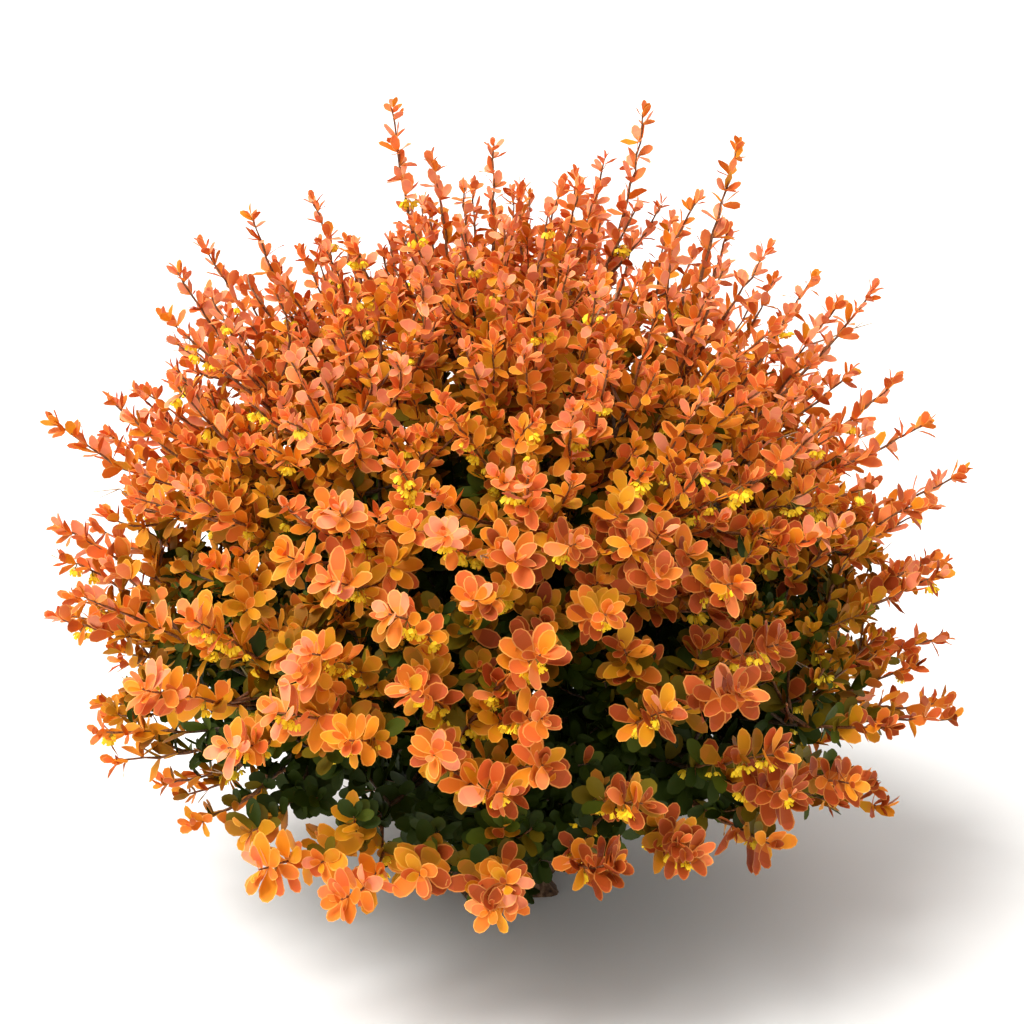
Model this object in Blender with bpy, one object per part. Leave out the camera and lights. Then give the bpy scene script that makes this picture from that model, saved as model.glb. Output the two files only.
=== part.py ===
"""A Japanese barberry, a dense domed shrub in its orange autumn leaves, rooted in the ground.

Metres, +Z up. The origin is on the ground, in the middle of the flat cut under the short stem.
Canes fan out from the stem, and each one ends where it enters its own mass of foliage.
A mass keeps to a cone of space round the heart of the crown, so neighbours never touch: it is a
core of packed leaves that leafy shoots stand out of, up to the crown's outline.
"""
import math
import random

import bmesh
import bpy
from mathutils import Quaternion, Vector
from mathutils.bvhtree import BVHTree

RANDOM_SEED = 13
FIT_GAP = 0.0003

# The heart is the point that all shoots point away from
HEART = Vector((0, 0, 0.20))

# Outline of the crown: a half-ellipsoid above the heart and a flatter one below it
CROWN_RADIUS = 0.395
CROWN_RISE = 0.44
CROWN_DROP = 0.115
LOWEST_CLIMB = -24

# Rings of foliage masses: name, climb of their middles in degrees, how many, first bearing
RINGS = (
    ("top", 90, 1, 0),
    ("upper", 51, 5, 6),
    ("skirt", -4, 9, 15),
)
SHOOTS_IN_RING = {"top": 5, "upper": 7, "skirt": 6}

# Shoots that outgrow the crown: bearing and climb in degrees, and their leaves' furthest reach
LEADERS = (
    (168, 79.4, 0.502),
    (250, 88.0, 0.466),
    (13, 75.5, 0.504),
    (0, 66.5, 0.504),
    (176, 62.0, 0.456),
    (4, 46.0, 0.468),
    (186, 31.4, 0.448),
    (-6, 25.5, 0.442),
    (8, 1.0, 0.412),
    (-20, -14.0, 0.365),
    (-162, -14.0, 0.320),
    (-92, -8.0, 0.368),
    (95, 20.0, 0.440),
    (70, 52.0, 0.465),
    (182, 52.5, 0.452),
    (178, 38.0, 0.405),
    (184, 19.5, 0.408),
    (182, -5.0, 0.360),
    (-4, 53.0, 0.445),
    (3, 36.5, 0.432),
    (5, 12.0, 0.410),
)

# Short stem, flared at the ground
STEM_SIDES = 15
STEM_PROFILE = (
    (0.000, 0.052),
    (0.008, 0.045),
    (0.022, 0.037),
    (0.042, 0.036),
    (0.058, 0.038),
    (0.070, 0.028),
)
ROOT_LOBES = 5
ROOT_LOBE_DEPTH = 0.14

# Stubs on the stem that carry the canes: distance from the axis, height, climb and length
STUBS = {
    "top": (0.0, 0.056, 90, 0.056),
    "upper": (0.012, 0.050, 78, 0.050),
    "skirt": (0.024, 0.045, 62, 0.046),
}
CANE_SIDES = 6
CANE_RINGS = 5
CANE_START_RADIUS = 0.0070
CANE_END_RADIUS = 0.0050
CANE_REACH = 0.130
CANE_END_CLIMB = {"top": 90, "upper": 60, "skirt": 22}

# Inside a mass
SPACE_MARGIN = 0.0015
HOLLOW_RADIUS = 0.132
GROUND_GAP = 0.006
STEM_SPACE_RADIUS = 0.060
STEM_SPACE_HEIGHT = 0.100
FORK_REACH = 0.190
SHOOT_SPREAD = 0.86
SHOOT_REACH = (0.95, 1.04)
SHOOT_LIFT = 10
SHOOT_START_RADIUS = 0.0034
SHOOT_END_RADIUS = 0.0020
SHOOT_SIDES = 3
SHOOT_STEPS = (0.0, 0.5, 0.76, 1.0)
GOLDEN_ANGLE = 137.508

# Core of a mass: reach as a part of the crown's, and spread as a part of the mass's width
CORE_SIDES = 12
CORE_NECK_REACH = 0.148
CORE_INNER_REACH = 0.158
CORE_RINGS = (
    (0.50, 0.93),
    (0.76, 0.95),
    (0.79, 0.52),
)
CORE_CAP = 0.81
CORE_UNDERSIDE_SHARE = 0.16
CORE_ROUGHNESS = 0.04
CORE_LOWEST = 0.012

# Leaves, larger than life, because each stands for a tuft
LEAF_LENGTH = 0.049
LEAF_WIDTH = 0.030
LEAF_HALF_THICKNESS = 0.0007
LEAF_WIDEST = 0.62
LEAF_THICKEST = 0.42
LEAF_ROOT_DEPTH = 0.0006
LEAF_SPREAD = 48
LEAF_SCALE = (0.90, 1.06)
TIP_ROOM = 0.027
FIRST_TUFT = 0.002
TUFT_GAP = 0.0397
LEAVES_IN_TUFT = (3, 2)
BARE_SHARE = 0.80

# Single leaves that stand out of the core between the shoots
CORE_LEAVES = 8
CORE_LEAF_SPREAD = 0.88
CORE_LEAF_DEPTH = 0.004
CORE_LEAF_LEAN = 46

# Hanging clusters of yellow flowers, on every third shoot
FLOWER_LENGTH = 0.016
FLOWER_RADIUS = 0.0055
FLOWER_FROM_TIP = 0.020
FLOWER_ROOT_DEPTH = 0.001
FLOWER_EVERY = 3

BARK_COLOUR = (0.105, 0.048, 0.026, 1)
FOLIAGE_COLOURS = {
    "top": (0.640, 0.150, 0.052, 1),
    "upper": (0.580, 0.150, 0.038, 1),
    "skirt": (0.440, 0.125, 0.024, 1),
}


def pointing(bearing, climb):
    """The direction with a bearing from +X and a climb above the level, in degrees."""
    level = math.cos(math.radians(climb))
    return Vector((
        level * math.cos(math.radians(bearing)),
        level * math.sin(math.radians(bearing)),
        math.sin(math.radians(climb)),
    ))


def crown_reach(direction):
    """How far the crown's outline is from the heart in a direction."""
    upright = CROWN_RISE if direction.z > 0 else CROWN_DROP
    level = math.hypot(direction.x, direction.y) / CROWN_RADIUS
    return 1 / math.hypot(level, direction.z / upright)


def across(axis):
    """A unit vector square to an axis, and level where it can be."""
    side = axis.cross(Vector((0, 0, 1)))
    if side.length < 0.05:
        side = axis.cross(Vector((0, 1, 0)))
    return side.normalized()


def turned(direction, bearing, angle):
    """A direction tilted by an angle towards a bearing round itself, in degrees."""
    side = across(direction)
    hinge = Quaternion(direction, math.radians(bearing)) @ side
    return Quaternion(hinge, math.radians(angle)) @ direction


def lifted(direction, angle):
    """A direction tilted upwards by an angle, and never past the upright."""
    room = 90 - math.degrees(math.asin(max(-1, min(1, direction.z))))
    hinge = across(direction)
    return Quaternion(hinge, math.radians(min(angle, 0.6 * room))) @ direction


def bend(start, middle, end, place):
    """A point on the curve from start to end that leans towards middle."""
    rest = 1 - place
    return start * rest * rest + middle * 2 * rest * place + end * place * place


def bend_direction(start, middle, end, place):
    """The way that curve runs at a place."""
    return ((middle - start) * (1 - place) + (end - middle) * place).normalized()


def closed_mesh(name, points, faces):
    """A mesh of a closed body, with its faces pointing out."""
    mesh = bpy.data.meshes.new(name)
    mesh.from_pydata(points, [], faces)
    shape = bmesh.new()
    shape.from_mesh(mesh)
    bmesh.ops.recalc_face_normals(shape, faces=shape.faces)
    shape.to_mesh(mesh)
    shape.free()
    return mesh


def ringed_mesh(name, rings):
    """A closed body through rings of equal count, each from bottom to top; ends are flat."""
    sides = len(rings[0])
    points = [point for ring in rings for point in ring]
    faces = [tuple(range(sides))]
    for row in range(len(rings) - 1):
        for index in range(sides):
            after = (index + 1) % sides
            low = row * sides
            faces.append((low + index, low + after, low + sides + after, low + sides + index))
    faces.append(tuple(range((len(rings) - 1) * sides, len(rings) * sides)))
    return closed_mesh(name, points, faces)


def limb_mesh(name, points, directions, radii, sides):
    """A tapering limb along points, with flat ends square to it."""
    rings = []
    side = across(directions[0])
    for point, direction, radius in zip(points, directions, radii):
        side = (side - direction * side.dot(direction)).normalized()
        up = direction.cross(side)
        ring = []
        for index in range(sides):
            angle = 2 * math.pi * index / sides
            ring.append(point + (side * math.cos(angle) + up * math.sin(angle)) * radius)
        rings.append(ring)
    return ringed_mesh(name, rings)


def lozenge_points(root, along, length, widest, side, thickest, cover):
    """The six corners of a lozenge: its ends, its sides, and its top and bottom."""
    wide = root + along * length * widest
    thick = root + along * length * thickest
    return [root, root + along * length, wide + side, wide - side, thick + cover, thick - cover]


def lozenge_faces():
    """Eight triangles between two ends, 0 and 1, two sides, 2 and 3, and a top and bottom."""
    return [(end, side, cover) for end in (0, 1) for side in (2, 3) for cover in (4, 5)]


def leaf_points(root, along, face_up, scale):
    """A flat pointed leaf, widest past its middle and thickest before it."""
    side = along.cross(face_up).normalized() * LEAF_WIDTH * scale / 2
    cover = face_up * LEAF_HALF_THICKNESS
    return lozenge_points(
        root, along, LEAF_LENGTH * scale, LEAF_WIDEST, side, LEAF_THICKEST, cover,
    )


def flower_points(root):
    """A drop-shaped cluster of flowers that hangs from a shoot."""
    side = Vector((FLOWER_RADIUS, 0, 0))
    front = Vector((0, FLOWER_RADIUS, 0))
    return lozenge_points(root, Vector((0, 0, -1)), FLOWER_LENGTH, 0.6, side, 0.6, front)


def add_object(name, mesh, material=None, collection=None):
    """Put a mesh in the scene as an object."""
    piece = bpy.data.objects.new(name, mesh)
    if material:
        mesh.materials.append(material)
    (collection or bpy.context.scene.collection).objects.link(piece)
    return piece


def plain_material(name, colour, roughness):
    """A matt material of one colour."""
    material = bpy.data.materials.new(name)
    material.use_nodes = True
    shader = material.node_tree.nodes["Principled BSDF"]
    shader.inputs["Base Color"].default_value = colour
    shader.inputs["Roughness"].default_value = roughness
    shader.inputs["Metallic"].default_value = 0
    material.diffuse_color = colour
    return material


def islands_of(shape):
    """The groups of faces in a bmesh that hang together along edges."""
    left = set(shape.faces)
    islands = []
    while left:
        seed = left.pop()
        island = [seed]
        queue = [seed]
        while queue:
            face = queue.pop()
            for edge in face.edges:
                for other in edge.link_faces:
                    if other in left:
                        left.remove(other)
                        island.append(other)
                        queue.append(other)
        islands.append(island)
    return islands


def enclosed_volume(island):
    """The volume inside a group of faces, negative for the wall of a hollow."""
    total = 0
    for face in island:
        first = face.verts[0].co
        for second, third in zip(face.verts[1:-1], face.verts[2:]):
            total += first.dot(second.co.cross(third.co)) / 6
    return total


def keep_one_body(mesh):
    """Leave the largest body in a mesh, without loose scraps or sealed hollows."""
    shape = bmesh.new()
    shape.from_mesh(mesh)
    islands = islands_of(shape)
    islands.sort(key=enclosed_volume)
    scraps = [face for island in islands[:-1] for face in island]
    bmesh.ops.delete(shape, geom=scraps, context="FACES")
    shape.to_mesh(mesh)
    shape.free()


def fuse(name, base_mesh, part_meshes, material, solver):
    """One body from a base and the parts that grow out of it."""
    parts = bpy.data.collections.new(name + "_parts")
    bpy.context.scene.collection.children.link(parts)
    for mesh in part_meshes:
        add_object(name + "_piece", mesh, collection=parts)
    base = add_object(name, base_mesh)
    union = base.modifiers.new("fuse", "BOOLEAN")
    union.operation = "UNION"
    union.operand_type = "COLLECTION"
    union.collection = parts
    union.solver = solver
    graph = bpy.context.evaluated_depsgraph_get()
    fused = bpy.data.meshes.new_from_object(base.evaluated_get(graph))
    base.modifiers.clear()
    for piece in list(parts.objects):
        bpy.data.objects.remove(piece)
    bpy.data.collections.remove(parts)
    keep_one_body(fused)
    fused.name = name
    fused.materials.clear()
    fused.materials.append(material)
    base.data = fused
    return base


def mass_plan():
    """Each mass's name, ring and middle direction, in order."""
    luck = random.Random(RANDOM_SEED)
    plan = []
    for ring, climb, count, first in RINGS:
        for index in range(count):
            bearing = first + index * 360 / count
            if count > 1:
                bearing += luck.uniform(-5, 5)
            middle = pointing(bearing, climb + (luck.uniform(-3, 3) if count > 1 else 0))
            name = ring if count == 1 else "{}_{}".format(ring, index + 1)
            plan.append((name, ring, bearing, middle))
    return plan


def room_beside(middle, middles, arm):
    """The least distance from a point to the walls of a mass's cone, negative outside it."""
    room = math.inf
    for other in middles:
        if other is not middle:
            away = middle - other
            room = min(room, away.dot(arm) / away.length)
    return room


def in_space(point, middle, middles):
    """Whether a point is in a mass's own space."""
    arm = point - HEART
    if arm.length < HOLLOW_RADIUS or point.z < GROUND_GAP:
        return False
    if point.z < STEM_SPACE_HEIGHT and math.hypot(point.x, point.y) < STEM_SPACE_RADIUS:
        return False
    return room_beside(middle, middles, arm) > SPACE_MARGIN


def edge_angle(middle, middles, bearing):
    """How far a mass spreads from its middle towards a bearing, in degrees."""
    angle = 0
    while angle < 90:
        direction = turned(middle, bearing, angle + 1)
        if direction.z < math.sin(math.radians(LOWEST_CLIMB)):
            break
        if room_beside(middle, middles, direction * FORK_REACH) < SPACE_MARGIN:
            break
        angle += 1
    return angle


def shoot_plan(ring, middle, middles, luck):
    """Where the shoots of a mass end, spread over its share of the crown, leaders first."""
    tips = []
    for bearing, climb, reach in LEADERS:
        direction = pointing(bearing, climb)
        if max(middles, key=direction.dot) is middle:
            tips.append(direction * reach)
    count = SHOOTS_IN_RING[ring]
    phase = luck.uniform(0, 360)
    for index in range(count):
        bearing = phase + index * GOLDEN_ANGLE
        share = math.sqrt((index + 0.5) / count) * SHOOT_SPREAD
        direction = turned(middle, bearing, edge_angle(middle, middles, bearing) * share)
        tips.append(direction * crown_reach(direction) * luck.uniform(*SHOOT_REACH))
    return [HEART + tip.normalized() * (tip.length - TIP_ROOM) for tip in tips]


def shoot_curve(fork, tip):
    """The three points of a shoot that leaves the fork and turns upwards to its tip."""
    radial = (tip - HEART).normalized()
    aim = lifted(radial, SHOOT_LIFT)
    return fork, tip - aim * (tip - fork).length * 0.5, tip


def core_mesh(name, middle, middles, luck):
    """The packed inside of a mass, a rough lump that narrows to the fork."""
    points = [HEART + middle * CORE_NECK_REACH]
    corner = max(range(0, 360, 5), key=lambda turn: edge_angle(middle, middles, turn))
    for reach_share, spread_share in CORE_RINGS:
        for index in range(CORE_SIDES):
            bearing = corner + 360 * index / CORE_SIDES
            angle = edge_angle(middle, middles, bearing) * spread_share
            direction = turned(middle, bearing, angle)
            share = reach_share + CORE_UNDERSIDE_SHARE * max(0, -direction.z)
            share *= luck.uniform(1 - CORE_ROUGHNESS, 1 + CORE_ROUGHNESS)
            reach = max(crown_reach(direction) * share, CORE_INNER_REACH)
            point = HEART + direction * reach
            point.z = max(point.z, CORE_LOWEST)
            points.append(point)
    points.append(HEART + middle * crown_reach(middle) * CORE_CAP)
    last = len(points) - 1
    faces = []
    for index in range(CORE_SIDES):
        after = (index + 1) % CORE_SIDES
        faces.append((0, 1 + index, 1 + after))
        for row in range(len(CORE_RINGS) - 1):
            low = 1 + row * CORE_SIDES
            high = low + CORE_SIDES
            faces.append((low + index, low + after, high + after))
            faces.append((low + index, high + after, high + index))
        low = 1 + (len(CORE_RINGS) - 1) * CORE_SIDES
        faces.append((low + index, low + after, last))
    return closed_mesh(name, points, faces)


def tree_of(mesh):
    """A search tree of a mesh's faces, to find what touches it."""
    points = [vertex.co.copy() for vertex in mesh.vertices]
    return BVHTree.FromPolygons(points, [tuple(face.vertices) for face in mesh.polygons])


class Mass:
    """The space of one mass of foliage, and what already grows in it."""

    def __init__(self, name, middle, middles):
        self.name = name
        self.middle = middle
        self.middles = middles
        self.meshes = []
        self.taken = []

    def add(self, mesh, group):
        """Grow a part that others of the same group may touch."""
        self.meshes.append(mesh)
        self.taken.append((tree_of(mesh), group))

    def try_lozenge(self, points, groups):
        """Grow a leaf or flower if it keeps to the space and clear of other groups."""
        if not all(in_space(point, self.middle, self.middles) for point in points):
            return False
        tree = BVHTree.FromPolygons(points, lozenge_faces())
        for other, group in self.taken:
            if group not in groups and tree.overlap(other):
                return False
        self.meshes.append(closed_mesh(self.name + "_leaf", points, lozenge_faces()))
        self.taken.append((tree, groups[0]))
        return True


def leaf_on(mass, curve, place, turn, scale, groups):
    """Try to grow a leaf out of one side of the twig."""
    point = bend(*curve, place)
    forward = bend_direction(*curve, place)
    side = twig_side(curve, forward)
    angle = math.radians((turn + 0.5) * 360 / SHOOT_SIDES)
    out = side * math.cos(angle) + forward.cross(side) * math.sin(angle)
    spread = math.radians(LEAF_SPREAD)
    along = forward * math.cos(spread) + out * math.sin(spread)
    face_up = forward * math.sin(spread) - out * math.cos(spread)
    root = point - along * LEAF_ROOT_DEPTH
    return mass.try_lozenge(leaf_points(root, along, face_up, scale), groups)


def twig_side(curve, forward):
    """The way that the first corner of a twig faces, where the twig runs forward."""
    side = across(bend_direction(*curve, 0))
    return (side - forward * side.dot(forward)).normalized()


def grow_twig(mass, number, fork, tip):
    """The bare twig of a shoot."""
    curve = shoot_curve(fork, tip)
    points = [bend(*curve, place) for place in SHOOT_STEPS]
    directions = [bend_direction(*curve, place) for place in SHOOT_STEPS]
    taper = SHOOT_START_RADIUS - SHOOT_END_RADIUS
    radii = [SHOOT_START_RADIUS - taper * place for place in SHOOT_STEPS]
    mass.add(limb_mesh(mass.name + "_twig", points, directions, radii, SHOOT_SIDES), (number,))
    return curve


def grow_leaves(mass, number, curve, luck):
    """Tufts of leaves from the tip of a shoot down to the core, each turned on from the last."""
    length = (curve[2] - curve[0]).length
    turn = luck.randrange(SHOOT_SIDES)
    place = 1 - FIRST_TUFT / length
    tuft = 0
    while True:
        arm = bend(*curve, place) - HEART
        if arm.length < BARE_SHARE * crown_reach(arm.normalized()):
            return
        groups = ((number, tuft), (number,))
        wanted = LEAVES_IN_TUFT[min(tuft, 1)]
        for attempt in range(SHOOT_SIDES):
            scale = luck.uniform(*LEAF_SCALE)
            if wanted and leaf_on(mass, curve, place, turn, scale, groups):
                wanted -= 1
            turn += 1
        turn += 1
        tuft += 1
        place -= TUFT_GAP / length


def grow_flower(mass, number, curve):
    """A cluster of flowers under a shoot."""
    place = 1 - FLOWER_FROM_TIP / (curve[2] - curve[0]).length
    root = bend(*curve, place) + Vector((0, 0, FLOWER_ROOT_DEPTH))
    mass.try_lozenge(flower_points(root), ((number, "flower"), (number,)))


def grow_core_leaves(mass, core_tree, luck):
    """Leaves that stand straight out of the core, spread over it."""
    phase = luck.uniform(0, 360)
    for index in range(CORE_LEAVES):
        bearing = phase + index * GOLDEN_ANGLE
        share = math.sqrt((index + 0.5) / CORE_LEAVES) * CORE_LEAF_SPREAD
        angle = edge_angle(mass.middle, mass.middles, bearing) * share
        direction = turned(mass.middle, bearing, angle)
        surface = core_tree.ray_cast(HEART + direction, -direction)[0]
        if surface is None:
            continue
        along = turned(direction, luck.uniform(0, 360), CORE_LEAF_LEAN)
        side = along.cross(direction).normalized()
        root = surface - along * CORE_LEAF_DEPTH
        scale = luck.uniform(*LEAF_SCALE)
        points = leaf_points(root, along, side.cross(along), scale)
        mass.try_lozenge(points, ("core_leaf_{}".format(index), "core"))


def stub_line(ring, bearing):
    """Where a stub leaves the stem's axis, and the way it runs."""
    offset, height, climb, length = STUBS[ring]
    outward = pointing(bearing, 0)
    start = outward * offset + Vector((0, 0, height))
    direction = pointing(bearing, climb)
    return start, direction, length


def build_stem(plan, material):
    """The short flared stem with a stub for each cane."""
    rings = []
    for height, radius in STEM_PROFILE:
        lobe = ROOT_LOBE_DEPTH * max(0, 1 - height / STEM_PROFILE[3][0])
        ring = []
        for index in range(STEM_SIDES):
            angle = 2 * math.pi * index / STEM_SIDES
            wide = radius * (1 + lobe * math.cos(ROOT_LOBES * angle))
            ring.append(Vector((wide * math.cos(angle), wide * math.sin(angle), height)))
        rings.append(ring)
    stubs = []
    for name, ring, bearing, middle in plan:
        start, direction, length = stub_line(ring, bearing)
        end = start + direction * length
        stubs.append(limb_mesh(
            name + "_stub", [start, end], [direction, direction],
            [CANE_START_RADIUS * 1.15, CANE_START_RADIUS], CANE_SIDES,
        ))
    fuse("stem", ringed_mesh("stem", rings), stubs, material, "EXACT")


def cane_curve(ring, bearing, middle):
    """The ends of a cane and the point that its curve leans towards."""
    stub_start, direction, length = stub_line(ring, bearing)
    start = stub_start + direction * (length + FIT_GAP)
    end = HEART + middle * CANE_REACH
    aim = pointing(bearing, CANE_END_CLIMB[ring])
    if ring == "top":
        return start, (start + end) / 2, end
    return start, middle_point(start, direction, end, aim), end


def middle_point(start, direction, end, aim):
    """Where a line out of the start and a line back from the end come nearest."""
    gap = end - start
    blend = direction.dot(aim)
    reach = (gap.dot(direction) - gap.dot(aim) * blend) / (1 - blend * blend)
    back = (gap.dot(aim) - gap.dot(direction) * blend) / (1 - blend * blend)
    return (start + direction * reach + end - aim * back) / 2


def build_cane(name, ring, bearing, middle, material):
    """One tapering cane from its stub to its mass; returns its end and the way it points."""
    curve = cane_curve(ring, bearing, middle)
    places = [index / (CANE_RINGS - 1) for index in range(CANE_RINGS)]
    points = [bend(*curve, place) for place in places]
    directions = [bend_direction(*curve, place) for place in places]
    directions[0] = stub_line(ring, bearing)[1]
    taper = CANE_START_RADIUS - CANE_END_RADIUS
    radii = [CANE_START_RADIUS - taper * place for place in places]
    mesh = limb_mesh("cane_" + name, points, directions, radii, CANE_SIDES)
    add_object("cane_" + name, mesh, material)
    return points[-1], directions[-1]


def build_mass(number, name, ring, middle, middles, cane_end, cane_direction, material):
    """One mass of foliage, fused from its stem, core, shoots, leaves and flowers."""
    luck = random.Random(RANDOM_SEED * 100 + number)
    mass = Mass(name, middle, middles)
    fork = HEART + middle * FORK_REACH
    start = cane_end + cane_direction * FIT_GAP
    tips = shoot_plan(ring, middle, middles, luck)
    core = core_mesh("foliage_" + name, middle, middles, luck)
    core_tree = tree_of(core)
    mass.taken.append((core_tree, "core"))
    mass.meshes.append(limb_mesh(
        name + "_stem", [start, fork], [cane_direction, middle],
        [CANE_END_RADIUS, SHOOT_START_RADIUS], CANE_SIDES,
    ))
    curves = [grow_twig(mass, index, fork, tip) for index, tip in enumerate(tips)]
    for index, curve in enumerate(curves):
        grow_leaves(mass, index, curve, luck)
    for index in range(0, len(curves), FLOWER_EVERY):
        grow_flower(mass, index, curves[index])
    grow_core_leaves(mass, core_tree, luck)
    return fuse("foliage_" + name, core, mass.meshes, material, "MANIFOLD")


def build_shrub():
    """The stem, the canes and the masses of foliage."""
    bark = plain_material("bark", BARK_COLOUR, 0.85)
    plan = mass_plan()
    middles = [middle for name, ring, bearing, middle in plan]
    build_stem(plan, bark)
    for number, (name, ring, bearing, middle) in enumerate(plan):
        cane_end, cane_direction = build_cane(name, ring, bearing, middle, bark)
        leaves = plain_material("leaves_" + name, FOLIAGE_COLOURS[ring], 0.6)
        build_mass(number, name, ring, middle, middles, cane_end, cane_direction, leaves)


def clear_scene():
    """Remove the objects that a new file starts with."""
    for item in list(bpy.data.objects):
        bpy.data.objects.remove(item)


clear_scene()
build_shrub()
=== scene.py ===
"""The finish of the Japanese barberry: bark, twigs, spines, autumn leaves and yellow flowers.

Metres and degrees, +Z up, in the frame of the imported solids. The shrub grows by the rule of the
solids: the same masses and the same shoots, then finer side shoots and spurs within that reach.
"""
import math
import random

import bpy
import numpy as np
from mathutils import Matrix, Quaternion, Vector, noise


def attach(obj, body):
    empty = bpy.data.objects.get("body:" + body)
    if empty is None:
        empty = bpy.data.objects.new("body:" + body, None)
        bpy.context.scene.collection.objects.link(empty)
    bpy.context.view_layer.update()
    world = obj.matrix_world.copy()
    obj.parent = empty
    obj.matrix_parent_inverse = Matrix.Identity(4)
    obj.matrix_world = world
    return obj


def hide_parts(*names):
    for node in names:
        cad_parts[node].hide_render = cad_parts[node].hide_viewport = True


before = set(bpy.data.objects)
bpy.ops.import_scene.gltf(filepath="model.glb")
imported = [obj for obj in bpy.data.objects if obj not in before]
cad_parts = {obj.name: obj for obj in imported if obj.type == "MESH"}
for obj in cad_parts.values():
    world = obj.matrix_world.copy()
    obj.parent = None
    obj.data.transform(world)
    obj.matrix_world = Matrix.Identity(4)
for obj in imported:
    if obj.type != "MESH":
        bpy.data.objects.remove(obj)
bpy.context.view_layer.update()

# The growth of the solids: heart, outline and masses of foliage. A ring has a name, climb, count
# and first bearing, and a leader has a bearing, climb and reach from the heart.
RANDOM_SEED = 13
HEART = Vector((0, 0, 0.20))
CROWN_RADIUS = 0.395
CROWN_RISE = 0.44
CROWN_DROP = 0.115
LOWEST_CLIMB = -24
RINGS = (
    ("top", 90, 1, 0),
    ("upper", 51, 5, 6),
    ("skirt", -4, 9, 15),
)
SHOOTS_IN_RING = {"top": 5, "upper": 7, "skirt": 6}
LEADERS = (
    (168, 79.4, 0.502),
    (250, 88.0, 0.466),
    (13, 75.5, 0.504),
    (0, 66.5, 0.504),
    (176, 62.0, 0.456),
    (4, 46.0, 0.468),
    (186, 31.4, 0.448),
    (-6, 25.5, 0.442),
    (8, 1.0, 0.412),
    (-20, -14.0, 0.365),
    (-162, -14.0, 0.320),
    (-92, -8.0, 0.368),
    (95, 20.0, 0.440),
    (70, 52.0, 0.465),
    (182, 52.5, 0.452),
    (178, 38.0, 0.405),
    (184, 19.5, 0.408),
    (182, -5.0, 0.360),
    (-4, 53.0, 0.445),
    (3, 36.5, 0.432),
    (5, 12.0, 0.410),
)
GOLDEN_ANGLE = 137.508
SPACE_MARGIN = 0.0015
FORK_REACH = 0.190
SHOOT_SPREAD = 0.86
SHOOT_REACH = (0.95, 1.04)
SHOOT_LIFT = 10
TIP_ROOM = 0.013
FINE_TIP_ROOM = 0.009

# Stem and canes of the solids. A stub has an offset from the stem's axis, height, climb and length.
STEM_PROFILE = (
    (0.000, 0.052),
    (0.008, 0.045),
    (0.022, 0.037),
    (0.042, 0.036),
    (0.058, 0.038),
    (0.070, 0.028),
)
ROOT_LOBES = 5
ROOT_LOBE_DEPTH = 0.14
STUBS = {
    "top": (0.0, 0.056, 90, 0.056),
    "upper": (0.012, 0.050, 78, 0.050),
    "skirt": (0.024, 0.045, 62, 0.046),
}
CANE_REACH = 0.130
CANE_START_RADIUS = 0.0070
CANE_END_RADIUS = 0.0050
CANE_END_CLIMB = {"top": 90, "upper": 60, "skirt": 22}

# Bark relief
STEM_SIDES = 60
STEM_ROWS = 34
CANE_SIDES = 16
CANE_ROWS = 30
BARK_RIDGE = 0.09

# Shoots that stand out at the front of the crown, and likewise at the back: bearing, climb
FRONT_SHOOTS = (
    (-91, -9), (-118, -7), (-108, -9), (-77, -4), (-68, -4), (-89, 5), (-100, 16), (-85, 20),
    (-71, 13), (-103, 24), (-77, 24), (-107, 10), (-57, 6), (-55, 18), (-112, 19), (-68, 40),
    (-80, 32), (-90, 40), (-97, 33), (-85, 8), (-51, 37), (-93, 26), (-122, 7), (-111, 27),
    (-85, 13), (-74, 3), (-73, 51), (-116, 12), (-130, 20), (-105, 41), (-98, 48), (-84, 47),
    (-114, 35),
)
FRONT_SHOOT_REACH = 0.388
FRONT_SWING = (18, 46)

# Shoots that end on the outline between the leaders: bearing, climb, reach
OUTLINE_SHOOTS = (
    (19, 70, 0.431), (-15, 59, 0.444), (-10, 33, 0.433), (7, 19, 0.412), (6, -7, 0.410),
    (-4, -23, 0.321), (10, -21, 0.372), (166, 68, 0.442), (-166, 49, 0.432), (176, 13, 0.400),
    (-171, 12, 0.350), (173, 0, 0.352), (-164, -18, 0.302),
    (163, 53, 0.456), (110, 81, 0.425), (-38, 79, 0.441), (-146, 70, 0.415), (-27, 67, 0.461),
    (146, 81, 0.449), (28, 77, 0.455), (15, 45, 0.439), (170, 29, 0.407), (-12, 18, 0.392),
    (176, 50, 0.395), (-172, 45, 0.392), (172, 57, 0.402), (-170, 62, 0.398), (178, 67, 0.400),
    (-176, 40, 0.395), (0, 83, 0.430), (-10, 79, 0.432), (5, 74, 0.424), (0, 70, 0.424),
)

# Finer growth: side shoots that fill the crown evenly, and short spurs on them. The face is the
# front and the back below the top, and the wings are the low sides. A tip carries an open rosette
# where it looks to the front or the back, and not too steeply up.
SPIKES = 96
SPIKE_REACH = (0.90, 1.0)
SPIKE_HIGHEST = 0.80
SIDE_SHOOTS = 318
SIDE_CANDIDATES = 14
SIDE_LOWEST_CLIMB = -12
SIDE_REACH = (0.57, 0.74)
SIDE_RISE = 0.25
SIDE_RISE_FROM = 0.6
SIDE_LIFT = 14
SIDE_LIFT_FALL = 0.42
SIDE_LEAST_LIFT = -4
SIDE_LIFT_SPREAD = 10
SIDE_SWAY = 12
SIDE_TONE_SPREAD = 0.6
FACE_LIMITS = (0.32, 0.42)
FACE_REACH = (0.60, 0.82)
FACE_LOW = 0.08
FACE_FALL = 0.10
FACE_SHARE = 0.85
WING_LIMIT = 0.12
WING_FALL = 0.07
ROSETTE_LIMITS = (0.70, 0.62)
SIDE_FORK = (0.25, 0.62)
SPURS_ON_SHOOT = 2
SPUR_PLACES = (0.50, 0.86)
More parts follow.
